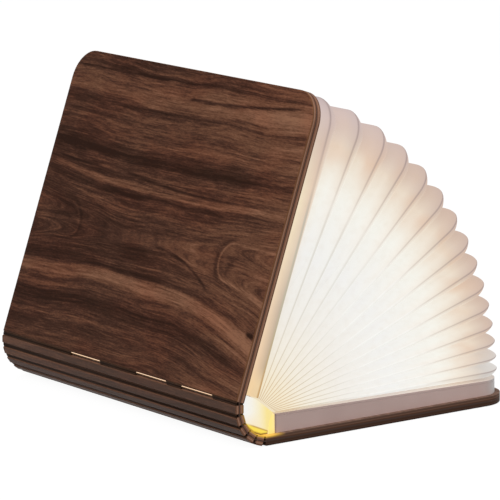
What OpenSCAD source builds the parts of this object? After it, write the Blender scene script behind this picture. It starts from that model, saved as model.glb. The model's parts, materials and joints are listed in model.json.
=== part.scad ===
// Folding book lamp: two walnut cover boards joined by a spine of five slats, with a paper
// bellows between them that opens as a fan and glows. The boards and slats are a sandwich of
// two wood layers on one cloth core, and the cloth, left bare in the grooves, is the hinge.
// X runs from the spine to the fore edge, Y along the spine, Z up. The origin is the middle
// of the back cover's underside.

/* [Cover boards] */
// Length of the boards along the spine
board_l = 215; // [180:1:280]
// Width of a cover from its spine hinge to its fore edge
cover_w = 157; // [140:1:200]
// Radius of the two fore-edge corners of a cover
cover_corner_r = 16; // [6:1:22]
// Thickness of the outer walnut layer
outer_ply_t = 2.2; // [1.6:0.1:2.4]
// Thickness of the cloth core
core_t = 0.6; // [0.4:0.1:0.8]
// Thickness of the inner wood layer
inner_ply_t = 2.2; // [1.6:0.1:2.4]
// Rounding of the outer wood edges
edge_r = 0.6; // [0.3:0.1:0.9]

/* [Spine] */
// Distance between two neighbouring spine hinges
slat_pitch = 5.7; // [5.6:0.1:6.2]
// Spare width of a groove on each side when the lamp is shut
kerf_clear = 0.15; // [0.1:0.05:0.25]
// Angle between the open covers
cover_open = 70.4; // [66:0.2:78]
// Length of a light slot in the first groove
slot_l = 27.5; // [20:0.5:30]
// Half the width of a light slot
slot_half_w = 0.5; // [0.3:0.1:0.6]

/* [Paper bellows] */
// Angle of the first page ridge above the back cover
first_page_angle = 69.4; // [65:0.2:69.8]
// How much closer the pages lie towards the back cover
page_crowding = 1.6; // [1.4:0.05:1.8]
// Distance of the page tips from the fore edge of the front cover
page_edge_gap = 2.2; // [2:0.1:6]
// Distance that the fanned page tips reach past the housing
page_overhang = 1.4; // [0:0.1:1.8]
// Distance of the page ends from the ends of the boards
page_end_gap = 2.2; // [2:0.1:6]
// Depth of a fold, from ridge to valley
fold_depth = 8; // [6:0.5:14]
// Corner radius of the page ridges
page_corner_r = 15; // [10:1:18]
// Corner radius of the page valleys
valley_corner_r = 4; // [2:0.5:8]
// Thickness of the paper
paper_t = 0.15; // [0.1:0.01:0.18]
// Space between two neighbouring folds at their common valley
fold_gap = 0.12; // [0.08:0.01:0.16]
// Distance of the first ridge's inner end from the front hinge, along the cover
hub_along = 5; // [3:0.5:8]
// Distance of the first ridge's inner end from the front cover's core
hub_off = 11.6; // [9:0.2:13]

/* [Housing] */
// Distance of the housing from the spine hinge of the back cover
housing_setback = 8.4; // [8:0.2:12]
// Distance of the housing from the fore edge of the back cover
housing_edge_gap = 2.2; // [2:0.1:6]
// Distance of the housing from the ends of the boards
housing_end_gap = 3; // [2.4:0.1:6]
// Corner radius of the housing at its fore edge
housing_corner_r = 14; // [10:1:16]
// Height of the housing at its spine side
housing_spine_h = 9.8; // [9.2:0.1:11]
// Height of the housing at its fore edge
housing_fore_h = 7.4; // [7.2:0.1:8.4]
// Thickness of the housing walls
wall = 1.4; // [1:0.1:1.8]
// Thickness of the housing floor
floor_t = 1; // [0.8:0.1:1.2]
// Thickness of the housing lid
lid_t = 1.1; // [0.8:0.1:1.2]
// Radius of the lid screws' shanks
screw_r = 0.8; // [0.6:0.1:1]

/* [Electrics] */
// Width, length and thickness of the battery cell
battery_size = [62, 98, 4.4]; // [3:1:110]
// Width and length of the control board
control_size = [44, 30]; // [24:1:46]
// Thickness of the circuit boards
pcb_t = 1; // [0.8:0.1:1.2]
// Depth of the light bar, from its face to the housing
light_bar_w = 4; // [3.4:0.1:5]
// Number of light chips
chip_count = 28; // [12:1:34]
// Radius of a magnet
magnet_r = 4; // [3:0.5:5]
// Thickness of a magnet
magnet_t = 1.2; // [0.8:0.1:1.3]
// Radius of the insulated wires
wire_r = 0.5; // [0.4:0.05:0.6]

/* [Hidden] */
$fn = 48;
hinge_count = 6;
slat_count = hinge_count - 1;
page_count = 15;
fit = 0.1;
seat = 0.25;
shut_bend = 180 / hinge_count;
rest_bend = (180 - cover_open) / hinge_count;
board_out = core_t / 2 + outer_ply_t;
board_in = core_t / 2 + inner_ply_t;
kerf = 2 * max(board_out, board_in) * tan(shut_bend / 2) + 2 * kerf_clear;
core_edge = 0.05;
endpaper_t = 0.25;
slot_centres = [30.5, -30, -70.5];

// Hinge lines, counted from the back cover to the front cover, as points [x, z]
function unit(a) = [cos(a), sin(a)];
function body_angle(k) = 180 - k * rest_bend;
function hinge(k) = k <= 1 ? [-cover_w / 2, board_out]
    : hinge(k - 1) + slat_pitch * unit(body_angle(k - 1));
middle_slat = (hinge(3) + hinge(4)) / 2;
table_face = hinge(1)[1] + board_in;
fore_x = hinge(1)[0] + cover_w;
function front_point(along, off) = hinge(hinge_count) + along * unit(cover_open)
    + off * unit(cover_open - 90);

page_half_l = board_l / 2 - page_end_gap;
housing_x = hinge(1)[0] + housing_setback;
housing_end_x = fore_x - housing_edge_gap;
housing_half_l = board_l / 2 - housing_end_gap;
page_reach = housing_end_x + page_overhang - middle_slat[0];

// A page leaf is the plane from its inner end, near the spine, to its tip. Leaf number s is
// whole in a valley and a half more on a ridge. The first lies on the front cover and the
// last on the housing.
last_leaf = page_count;
hub_front = front_point(hub_along, hub_off);
hub_back = [housing_x + 0.2, table_face + housing_spine_h + 0.8];
function leaf_hub(s) = s < 0.25 ? front_point(hub_along, board_in + endpaper_t + seat)
    : s > last_leaf - 0.25 ? [housing_x + 1, housing_top(housing_x + 1) + seat]
    : hub_front + (hub_back - hub_front) * (s - 0.5) / (last_leaf - 0.5);
function page_angle(s) = first_page_angle * pow(1 - (s - 0.5) / (page_count + 1), page_crowding);
function leaf_tip(s) = s < 0.25 ? front_point(cover_w - page_edge_gap, board_in + endpaper_t + seat)
    : s > last_leaf - 0.25 ? [housing_end_x, housing_top(housing_end_x) + seat]
    : middle_slat + page_reach * unit(page_angle(s));
function housing_top(x) = table_face + housing_spine_h
    - (housing_spine_h - housing_fore_h) * (x - housing_x) / (housing_end_x - housing_x);

// A point of leaf s, at a distance along it from its inner end, moved off its plane
function leaf_point(s, along, y, off) = let(
    hub = leaf_hub(s), way = leaf_tip(s) - hub, u = way / norm(way),
    p = hub + along * u + off * [-u[1], u[0]]) [p[0], y, p[1]];
function leaf_length(s) = norm(leaf_tip(s) - leaf_hub(s));

// Outline of a leaf as [distance along the leaf, y], from one inner end round to the other
corner_steps = 5;
function half_outline(s, depth, r) = let(
    far = leaf_length(s) - depth, side = -page_half_l + depth)
    [[0, side], for (i = [0 : corner_steps]) let(a = -90 + 90 * i / corner_steps)
        [far - r + r * cos(a), side + r + r * sin(a)]];
function outline(s, depth, r) = let(half = half_outline(s, depth, r), n = len(half))
    [for (p = half) p, for (i = [n - 1 : -1 : 0]) [half[i][0], -half[i][1]]];

// Placing: a slat or cover is drawn flat, X from its hinge, Z towards its outer face
module on_body(k) {
    translate([hinge(k)[0], 0, hinge(k)[1]]) rotate([0, -body_angle(k), 0]) children();
}
module on_front() { on_body(hinge_count) children(); }
module on_back() { translate([hinge(1)[0], 0, hinge(1)[1]]) mirror([0, 0, 1]) children(); }
module along_spine(length) { rotate([90, 0, 0]) linear_extrude(length, center = true) children(); }

// Cover boards
module cover_outline(inset = 0) {
    r = cover_corner_r - inset;
    half = board_l / 2 - inset;
    x0 = kerf / 2 + inset;
    x1 = cover_w - inset;
    translate([x0, -half]) square([x1 - r - x0, 2 * half]);
    translate([x0, -half + r]) square([x1 - x0, 2 * (half - r)]);
    for (side = [-1, 1]) translate([x1 - r, side * (half - r)]) circle(r);
}
module cover_outer_panel() {
    hull() {
        translate([0, 0, core_t / 2]) linear_extrude(outer_ply_t - edge_r) cover_outline();
        for (a = [30, 60, 90])
            translate([0, 0, board_out - edge_r + edge_r * sin(a) - 0.01])
                linear_extrude(0.01) cover_outline(edge_r * (1 - cos(a)));
    }
}
module cover_core() {
    translate([0, 0, -core_t / 2]) linear_extrude(core_t) intersection() {
        translate([kerf / 2, -board_l]) square([cover_w, 2 * board_l]);
        cover_outline();
    }
    along_spine(board_l) core_tongue();
}
module core_tongue() {
    bevel = core_t / 2 * tan(shut_bend / 2);
    polygon([[core_edge, 0], [core_edge + bevel, core_t / 2], [kerf / 2 + 0.2, core_t / 2],
        [kerf / 2 + 0.2, -core_t / 2], [core_edge + bevel, -core_t / 2]]);
}
module light_slots() {
    for (y = slot_centres)
        translate([0, y, 0]) cube([2 * slot_half_w, slot_l, 2 * core_t], center = true);
}
module magnet_places() {
    for (side = [-1, 1]) translate([cover_w - 16, side * (board_l / 2 - 26), 0]) children();
}
module magnets() {
    magnet_places() translate([0, 0, -core_t / 2 - magnet_t]) cylinder(r = magnet_r, h = magnet_t);
}
module cover_inner_panel() {
    difference() {
        translate([0, 0, -board_in]) linear_extrude(inner_ply_t) cover_outline();
        magnet_places() translate([0, 0, -core_t / 2 - magnet_t - fit])
            cylinder(r = magnet_r + fit, h = magnet_t + 2 * fit + 1);
    }
}

module back_outer_panel() { color("#4a3329") on_back() cover_outer_panel(); }
module back_core() { color("#2a1d18") on_back() cover_core(); }
module back_inner_panel() { color("#6b4a3c") on_back() cover_inner_panel(); }
module back_magnets() { color("silver") on_back() magnets(); }
module front_outer_panel() { color("#4a3329") on_front() cover_outer_panel(); }
module front_core() {
    color("#2a1d18") on_front() difference() {
        cover_core();
        light_slots();
    }
}
module front_inner_panel() { color("#6b4a3c") on_front() cover_inner_panel(); }
module front_magnets() { color("silver") on_front() magnets(); }
module front_endpaper() {
    margin = page_end_gap + 1;
    color("#efe2cf") on_front() translate([0, 0, -board_in - endpaper_t]) linear_extrude(endpaper_t)
        intersection() {
            cover_outline(margin);
            translate([hub_along, -board_l]) square([cover_w, 2 * board_l]);
        }
}

// Spine slats: the same sandwich as the covers, with shoulders rounded outside
module slat_outer(k) {
    x0 = kerf / 2;
    x1 = slat_pitch - kerf / 2;
    color("#553c30") on_body(k) along_spine(board_l) polygon([[x0, core_t / 2],
        for (a = [180 : -18 : 90]) [x0 + edge_r + edge_r * cos(a), board_out - edge_r + edge_r * sin(a)],
        for (a = [90 : -18 : 0]) [x1 - edge_r + edge_r * cos(a), board_out - edge_r + edge_r * sin(a)],
        [x1, core_t / 2]]);
}
module slat_core(k) {
    bevel = core_t / 2 * tan(shut_bend / 2);
    color("#2a1d18") on_body(k) difference() {
        along_spine(board_l) polygon([[core_edge, 0], [core_edge + bevel, core_t / 2],
            [slat_pitch - core_edge - bevel, core_t / 2], [slat_pitch - core_edge, 0],
            [slat_pitch - core_edge - bevel, -core_t / 2], [core_edge + bevel, -core_t / 2]]);
        if (k == slat_count) translate([slat_pitch, 0, 0]) light_slots();
    }
}
module slat_inner(k) {
    color("#6b4a3c") on_body(k) translate([kerf / 2, -board_l / 2, -board_in])
        cube([slat_pitch - kerf, board_l, inner_ply_t]);
}

// Housing on the back cover: a tray under a sloping lid
module housing_outline(inset = 0) {
    r = housing_corner_r - inset;
    half = housing_half_l - inset;
    x0 = housing_x + inset;
    x1 = housing_end_x - inset;
    translate([x0, -half]) square([x1 - r - x0, 2 * half]);
    translate([x0, -half + r]) square([x1 - x0, 2 * (half - r)]);
    for (side = [-1, 1]) translate([x1 - r, side * (half - r)]) circle(r);
}
module under_slope(drop) {
    along_spine(board_l) polygon([[housing_x - 1, table_face],
        [housing_x - 1, housing_top(housing_x - 1) - drop],
        [housing_end_x + 1, housing_top(housing_end_x + 1) - drop], [housing_end_x + 1, table_face]]);
}
module tall(outline_inset) {
    translate([0, 0, table_face]) linear_extrude(2 * housing_spine_h) housing_outline(outline_inset);
}
boss_r = 2.6;
boss_inset = wall + boss_r - 0.4;
screw_places = [for (side = [-1, 1]) each [
    [housing_x + boss_inset, side * (housing_half_l - boss_inset)],
    [housing_end_x - boss_inset, side * (housing_half_l - housing_corner_r - 2 * boss_r)]]];
socket_size = [9, 7.4, 3.1];
control_centre = [fore_x - 38, housing_half_l - wall - control_size[1] / 2 - fit];
board_rest_h = 0.7;
board_top = table_face + floor_t + board_rest_h + pcb_t;
battery_margin = 8;
battery_shift = 12;
battery_x = housing_x + wall + battery_margin;
lead_y = control_centre[1] - 6;
lead_step = 2.4;
lead_z = table_face + floor_t + board_rest_h + pcb_t / 2;

module housing_tray() {
    color("#a59395") difference() {
        intersection() {
            union() {
                difference() {
                    tall(0);
                    translate([0, 0, floor_t]) tall(wall);
                }
                for (p = screw_places) translate([p[0], p[1], table_face])
                    cylinder(r = boss_r, h = 2 * housing_fore_h);
                control_ribs();
            }
            under_slope(lid_t + fit);
        }
        for (p = screw_places) translate([p[0], p[1], table_face + floor_t])
            cylinder(r = screw_r + fit / 2, h = 2 * housing_spine_h);
        translate([control_centre[0], housing_half_l, board_top + socket_size[2] / 2])
            cube([socket_size[0] + 2 * fit, 4 * wall, socket_size[2] + 2 * fit], center = true);
        for (i = [0, 1]) translate([housing_x - 1, lead_y + i * lead_step, lead_z])
            rotate([0, 90, 0]) cylinder(r = wire_r + fit, h = wall + 2);
    }
}
module control_ribs() {
    for (side = [-1, 1])
        translate([control_centre[0] - control_size[0] / 2 + 2,
            control_centre[1] + side * (control_size[1] / 2 - 3) - 0.6, table_face])
            cube([control_size[0] - 4, 1.2, floor_t + board_rest_h]);
}
module housing_lid() {
    color("#b3a2a3") difference() {
        intersection() {
            tall(0);
            difference() {
                under_slope(0);
                under_slope(lid_t);
            }
        }
        for (p = screw_places) translate([p[0], p[1], table_face])
            cylinder(r = screw_r + fit, h = 2 * housing_spine_h);
    }
}
module lid_screws() {
    length = 5;
    color("dimgray") for (p = screw_places) {
        top = housing_top(p[0]) - 0.1;
        translate([p[0], p[1], top - length]) cylinder(r = screw_r, h = length);
    }
}
module battery_cell() {
    r = 1.5;
    color("#8d949c") translate([battery_x, -battery_size[1] / 2 - battery_shift, table_face + floor_t])
        linear_extrude(battery_size[2]) {
            translate([r, 0]) square([battery_size[0] - 2 * r, battery_size[1]]);
            translate([0, r]) square([battery_size[0], battery_size[1] - 2 * r]);
            for (x = [r, battery_size[0] - r], y = [r, battery_size[1] - r])
                translate([x, y]) circle(r);
        }
}
module battery_leads() {
    start_y = battery_size[1] / 2 - battery_shift;
    z = lead_z;
    board_y = control_centre[1] - control_size[1] / 2;
    color("#b03a30") for (i = [0, 1]) {
        x = battery_x + battery_size[0] - battery_margin - i * lead_step;
        end_x = control_centre[0] - control_size[0] / 2 + 3 + (1 - i) * lead_step;
        turn_y = (start_y + board_y) / 2 + i * lead_step;
        translate([x, start_y, z]) rotate([-90, 0, 0]) cylinder(r = wire_r, h = turn_y - start_y);
        translate([x, turn_y, z]) sphere(wire_r);
        translate([min(x, end_x), turn_y, z]) rotate([0, 90, 0])
            cylinder(r = wire_r, h = abs(end_x - x));
        translate([end_x, turn_y, z]) sphere(wire_r);
        translate([end_x, turn_y, z]) rotate([-90, 0, 0]) cylinder(r = wire_r, h = board_y - turn_y);
    }
}
module control_board() {
    color("#2f6b4a") {
        translate([control_centre[0], control_centre[1], board_top - pcb_t / 2])
            cube([control_size[0], control_size[1], pcb_t], center = true);
        translate([control_centre[0] - 8, control_centre[1] - 7, board_top]) cube([6, 6, 1.2]);
        translate([control_centre[0] + 4, control_centre[1] - 8, board_top]) cylinder(r = 2.5, h = 2);
        for (x = [-16, -12, 10, 14])
            translate([control_centre[0] + x, control_centre[1] + 4, board_top]) cube([1.6, 3, 0.8]);
    }
}
module charging_socket() {
    shell = 0.3;
    throat = 5.5;
    color("#c9c9cc") translate([control_centre[0], housing_half_l - 0.1, board_top + socket_size[2] / 2])
        rotate([90, 0, 0]) difference() {
            linear_extrude(socket_size[1]) slot_shape(socket_size[0], socket_size[2]);
            translate([0, 0, -1]) linear_extrude(throat + 1) difference() {
                slot_shape(socket_size[0] - 2 * shell, socket_size[2] - 2 * shell);
                square([6.6, 0.7], center = true);
            }
        }
}
module slot_shape(w, h) {
    for (side = [-1, 1]) translate([side * (w - h) / 2, 0]) circle(h / 2);
    square([w - h, h], center = true);
}
module magnet_sensor() {
    color("#22252a") translate([control_centre[0] + control_size[0] / 2 - 6, control_centre[1] - 2, board_top])
        cube([4, 3, 1.4]);
}

// Light bar on the spine side of the housing
bar_h = housing_spine_h - 0.1;
module led_board() {
    color("#e8e8e2") translate([housing_x - fit - pcb_t, -housing_half_l + 2, table_face + 1])
        cube([pcb_t, 2 * housing_half_l - 4, bar_h - 2]);
}
module led_chips() {
    chip = [0.8, 3.4, 2.8];
    step = (2 * housing_half_l - 12) / chip_count;
    color("#f3c53a") for (i = [0 : chip_count - 1])
        translate([housing_x - fit - pcb_t - chip[0], -housing_half_l + 6 + (i + 0.5) * step - chip[1] / 2,
            table_face + bar_h / 2 - chip[2] / 2]) cube(chip);
}
module led_leads() {
    end_x = control_centre[0] - control_size[0] / 2;
    color("#d8d2c4") for (i = [0, 1]) translate([housing_x - fit, lead_y + i * lead_step, lead_z])
        rotate([0, 90, 0]) cylinder(r = wire_r, h = end_x - housing_x + fit);
}
module led_diffuser() {
    skin = 0.7;
    color("#fff0c0") translate([housing_x - fit - light_bar_w, -housing_half_l, table_face]) difference() {
        cube([light_bar_w, 2 * housing_half_l, bar_h]);
        translate([skin, 2 - fit, 1 - fit])
            cube([light_bar_w, 2 * housing_half_l - 4 + 2 * fit, bar_h - 2 + 2 * fit]);
    }
}

// Paper bellows: each page is one fold, from a valley over its ridge to the next valley
module page(number) {
    ridge = number - 0.5;
    skin = 10 * paper_t;
    ring_pairs = [
        [number - 1, fold_depth, valley_corner_r, -fold_gap / 2],
        [ridge, 0, page_corner_r, 0],
        [number, fold_depth, valley_corner_r, fold_gap / 2],
        [number, fold_depth, valley_corner_r, fold_gap / 2 + paper_t],
        [ridge, skin, page_corner_r - skin, 0],
        [number - 1, fold_depth, valley_corner_r, -fold_gap / 2 - paper_t]
    ];
    paths = [for (ring = ring_pairs) [for (q = outline(ring[0], ring[1], ring[2]))
        leaf_point(ring[0], q[0], q[1], ring[3])]];
    sides = len(paths);
    count = len(paths[0]);
    points = [for (i = [0 : count - 1], j = [0 : sides - 1]) paths[j][i]];
    walls = [for (i = [0 : count - 2], j = [0 : sides - 1]) let(
        a = i * sides + j, b = i * sides + (j + 1) % sides, c = b + sides, d = a + sides)
        each j < 3 ? [[a, b, c], [a, c, d]] : [[a, b, d], [b, c, d]]];
    start_cap = [[0, 5, 4], [0, 4, 1], [1, 4, 3], [1, 3, 2]];
    last = (count - 1) * sides;
    end_cap = [for (t = start_cap) [last + t[2], last + t[1], last + t[0]]];
    color("#f4e6d2") polyhedron(points, concat(walls, start_cap, end_cap));
}

// Gussets close the ends of the spine between the pages' inner ends and the slats
gusset_t = 0.3;
gusset_gap = 0.35;
function inner_corner(k) = hinge(k)
    + (board_in + gusset_gap) / cos(rest_bend / 2) * unit(body_angle(k) - 90 + rest_bend / 2);
module gusset() {
    bar_x = housing_x - fit - light_bar_w - gusset_gap;
    along_spine(gusset_t) polygon([
        hub_front - [0.6, 0.4], leaf_hub(last_leaf / 2) - [0.6, 0.8], [bar_x, hub_back[1] + 2],
        [bar_x, table_face + gusset_gap],
        for (k = [1 : hinge_count]) inner_corner(k),
        front_point(hub_along, board_in + 3 * gusset_gap)]);
}
module near_gusset() {
    color("#fff4dc") translate([0, -housing_half_l + gusset_t / 2, 0]) gusset();
}
module far_gusset() {
    color("#fff4dc") translate([0, housing_half_l - gusset_t / 2, 0]) gusset();
}

back_outer_panel();
back_core();
back_inner_panel();
back_magnets();
housing_tray();
housing_lid();
lid_screws();
battery_cell();
battery_leads();
control_board();
charging_socket();
magnet_sensor();
led_board();
led_chips();
led_leads();
led_diffuser();
slat_outer(1);  // slat_1_outer
slat_core(1);  // slat_1_core
slat_inner(1);  // slat_1_inner
slat_outer(2);  // slat_2_outer
slat_core(2);  // slat_2_core
slat_inner(2);  // slat_2_inner
slat_outer(3);  // slat_3_outer
slat_core(3);  // slat_3_core
slat_inner(3);  // slat_3_inner
slat_outer(4);  // slat_4_outer
slat_core(4);  // slat_4_core
slat_inner(4);  // slat_4_inner
slat_outer(5);  // slat_5_outer
slat_core(5);  // slat_5_core
slat_inner(5);  // slat_5_inner
front_outer_panel();
front_core();
front_inner_panel();
front_magnets();
front_endpaper();
page(1);  // page_01
page(2);  // page_02
page(3);  // page_03
page(4);  // page_04
page(5);  // page_05
page(6);  // page_06
page(7);  // page_07
page(8);  // page_08
page(9);  // page_09
page(10);  // page_10
page(11);  // page_11
page(12);  // page_12
page(13);  // page_13
page(14);  // page_14
page(15);  // page_15
near_gusset();
far_gusset();
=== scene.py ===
import json
import math

import bmesh
import bpy
import numpy as np
from mathutils import Matrix, Vector


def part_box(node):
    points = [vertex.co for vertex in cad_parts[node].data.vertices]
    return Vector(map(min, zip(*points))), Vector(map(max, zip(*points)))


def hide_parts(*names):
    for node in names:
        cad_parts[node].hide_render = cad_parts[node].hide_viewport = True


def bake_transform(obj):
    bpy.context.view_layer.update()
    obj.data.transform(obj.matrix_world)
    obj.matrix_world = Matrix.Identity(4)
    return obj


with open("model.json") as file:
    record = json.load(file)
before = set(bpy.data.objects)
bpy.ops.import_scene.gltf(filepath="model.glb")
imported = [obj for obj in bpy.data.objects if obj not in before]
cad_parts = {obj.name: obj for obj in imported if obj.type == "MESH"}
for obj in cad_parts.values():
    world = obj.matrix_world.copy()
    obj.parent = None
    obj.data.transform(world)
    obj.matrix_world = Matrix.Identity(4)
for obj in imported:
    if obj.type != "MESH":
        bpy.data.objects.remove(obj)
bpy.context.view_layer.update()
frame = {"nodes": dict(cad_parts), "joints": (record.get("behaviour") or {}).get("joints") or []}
nodes = frame["nodes"]

# Camera
# It stands off the near end of the spine, a little above the table, so that it looks past the
# standing front cover at the fanned pages.
turn, tilt, roll = (math.radians(degrees) for degrees in (-35.314, 10.767, -0.703))
distance, aside, above = 2.03269, 0.0551, 0.08059
spine_foot = Vector((-0.0785, 0, 0.0005))
back = Vector((math.sin(turn) * math.cos(tilt), -math.cos(turn) * math.cos(tilt), math.sin(tilt)))
level = Vector((math.cos(turn), math.sin(turn), 0))
upright = back.cross(level)
right = math.cos(roll) * level + math.sin(roll) * upright
up = math.cos(roll) * upright - math.sin(roll) * level
eye = distance * back + aside * right + above * up + spine_foot
lens = bpy.data.cameras.new("camera")
lens.sensor_fit = "HORIZONTAL"
lens.sensor_width, lens.lens, lens.clip_end = 36, 284.8, 30
camera = bpy.data.objects.new("camera", lens)
camera.matrix_world = Matrix((
    (right.x, up.x, back.x, eye.x), (right.y, up.y, back.y, eye.y),
    (right.z, up.z, back.z, eye.z), (0, 0, 0, 1)))
bpy.context.scene.collection.objects.link(camera)
bpy.context.scene.camera = camera


# Back cover
# Two walnut-faced plies glued over a dark cloth that also runs through the spine as its hinge.
# The cover lies on the table with its oiled outer face down.
def tone(r, g, b):
    """The shader colour of a tone given in display steps from 0 to 255."""
    parts = [c / 255 for c in (r, g, b)]
    return tuple(c / 12.92 if c < 0.04045 else ((c + 0.055) / 1.055) ** 2.4 for c in parts) + (1,)


class Finish:
    """A material in the making. Its methods take numbers or node outputs and return outputs."""

    def __init__(self, name):
        self.material = bpy.data.materials.new(name)
        self.material.use_nodes = True
        self.tree = self.material.node_tree
        self.shader = self.tree.nodes["Principled BSDF"]

    def put(self, socket, value):
        if isinstance(value, bpy.types.NodeSocket):
            self.tree.links.new(value, socket)
        else:
            socket.default_value = value

    def node(self, kind, inputs, out=0, **settings):
        made = self.tree.nodes.new("ShaderNode" + kind)
        for key, value in settings.items():
            setattr(made, key, value)
        for key, value in inputs.items():
            self.put(made.inputs[key], value)
        return made.outputs[out]

    def sum(self, operation, *values):
        return self.node("Math", dict(enumerate(values)), operation=operation)

    def spot(self):
        """The place on the piece, in metres."""
        return self.node("TexCoord", {}, out=3)

    def fine_spot(self, x, y=None, z=None):
        """The place on the piece in steps so fine that x of them make a metre."""
        return self.node("VectorMath", {0: self.spot(), 1: (x, y or x, z or x)},
                         operation="MULTIPLY")

    def mark(self, name, out):
        """What the mesh has stored at each point under this name."""
        return self.node("Attribute", {}, out, attribute_name=name, attribute_type="GEOMETRY")

    def parts(self, vector):
        split = self.node("SeparateXYZ", {0: vector}).node
        return [split.outputs[i] for i in range(3)]

    def upward(self):
        return self.parts(self.node("TexCoord", {}, out=1))[2]

    def place(self, x, y, z=0.0):
        return self.node("CombineXYZ", {0: x, 1: y, 2: z})

    def noise(self, place, detail=2.0, rough=0.5):
        return self.node("TexNoise", {"Vector": place, "Scale": 1.0, "Detail": detail,
                                      "Roughness": rough})

    def streaks(self, across, along, layer, detail=2.0, rough=0.5):
        """Noise drawn out along a board. Across and along each come with their fineness."""
        spot = self.place(self.sum("MULTIPLY", *across), self.sum("MULTIPLY", *along), layer)
        return self.noise(spot, detail, rough)

    def fade(self, value, start, end, low=0.0, high=1.0, **settings):
        """Goes from low at start to high at end and stays level beyond them."""
        return self.node("MapRange", {"Value": value, "From Min": start, "From Max": end,
                                      "To Min": low, "To Max": high}, **settings)

    def bell(self, distance, width):
        """Is 1 where the distance is 0 and dies away smoothly on both sides."""
        square = self.sum("POWER", self.sum("DIVIDE", distance, width), 2)
        return self.sum("EXPONENT", self.sum("MULTIPLY", square, -1))

    def ramp(self, value, *stops):
        made = self.tree.nodes.new("ShaderNodeValToRGB")
        marks = made.color_ramp.elements
        while len(marks) < len(stops):
            marks.new(0.5)
        for mark, (at, colour) in zip(marks, stops):
            mark.position = at
            mark.color = colour if isinstance(colour, tuple) else (colour, colour, colour, 1)
        self.put(made.inputs[0], value)
        return made.outputs[0]

    def mix(self, share, first, second, blend="MIX"):
        made = self.tree.nodes.new("ShaderNodeMix")
        made.data_type, made.blend_type = "RGBA", blend
        for index, value in ((0, share), (6, first), (7, second)):
            self.put(made.inputs[index], value)
        return made.outputs[2]

    def bump(self, height, distance, strength=1.0):
        made = self.node("Bump", {"Height": height, "Distance": distance, "Strength": strength})
        self.put(self.shader.inputs["Normal"], made)

    def set(self, **sockets):
        for key, value in sockets.items():
            self.put(self.shader.inputs[key.replace("_", " ")], value)
        return self.material


def dress(material, *names):
    """Gives CAD nodes this material in every slot."""
    for name in names:
        mesh = nodes[name].data
        mesh.materials.clear()
        mesh.materials.append(material)


def board_place(finish, hinge, lean):
    """Place on a board in millimetres: across the grain, along it and off its face, and how
    much the surface faces off the board."""
    level = finish.node("VectorRotate", {"Vector": finish.spot(), "Center": hinge, "Angle": lean},
                        rotation_type="Y_AXIS")
    moved = finish.node("VectorMath", {0: level, 1: hinge}, operation="SUBTRACT")
    across, along, off = (finish.sum("MULTIPLY", part, 1000) for part in finish.parts(moved))
    normal = finish.node("TexCoord", {}, out=1)
    facing = finish.node("VectorRotate", {"Vector": normal, "Center": (0, 0, 0), "Angle": lean},
                         rotation_type="Y_AXIS")
    return across, along, off, finish.sum("ABSOLUTE", finish.parts(facing)[2])


def edge_plies(f, along, off, seed, light=1.0, shade_below=1.0, ply_contrast=1.0):
    """The edge of a board: end grain between the glue lines of the plies, which are pale or, with
    little ply contrast, hardly to be seen. A painted highlight runs along one rim of the edge, and
    painted shade darkens edges that lie in shade."""
    wavy = f.sum("MULTIPLY_ADD", f.streaks((off, 0.8), (along, 0.05), seed), 0.5,
                 f.sum("ABSOLUTE", off))
    plies = f.ramp(f.sum("DIVIDE", wavy, 3.2), (0.10, tone(104, 68, 50)),
                   (0.20, tone(146, 100, 77)), (0.40, tone(158, 111, 86)),
                   (0.48, tone(192, 148, 124)), (0.54, tone(188, 144, 120)),
                   (0.62, tone(146, 102, 79)), (0.84, tone(120, 83, 63)))
    plies = f.mix(ply_contrast, tone(112, 78, 62), plies)
    # Painted highlight: a paler line along one rim of the edge, golden on boards with clear plies
    # and pinkish on the others.
    rim_highlight = tone(136, 90, 48) if ply_contrast > 0.5 else tone(150, 118, 104)
    plies = f.mix(f.fade(off, 1.5, 2.3, high=0.7), plies, rim_highlight)
    # Random darker streaks in the end grain, scaled by a painted light level that darkens edges
    # which lie in shade.
    streaks_and_shade = f.ramp(f.streaks((off, 2.5), (along, 0.25), seed + 1, 3, 0.6),
                   (0.35, 0.66 * light), (0.65, 1.0 * light))
    plies = f.mix(1.0, plies, streaks_and_shade, "MULTIPLY")
    # Painted shade: the edge darkens towards its lower ply.
    lower = f.ramp(f.fade(off, -1.0, 2.2), (0.0, shade_below), (0.8, 1.0))
    return f.mix(1.0, plies, lower, "MULTIPLY")


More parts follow.
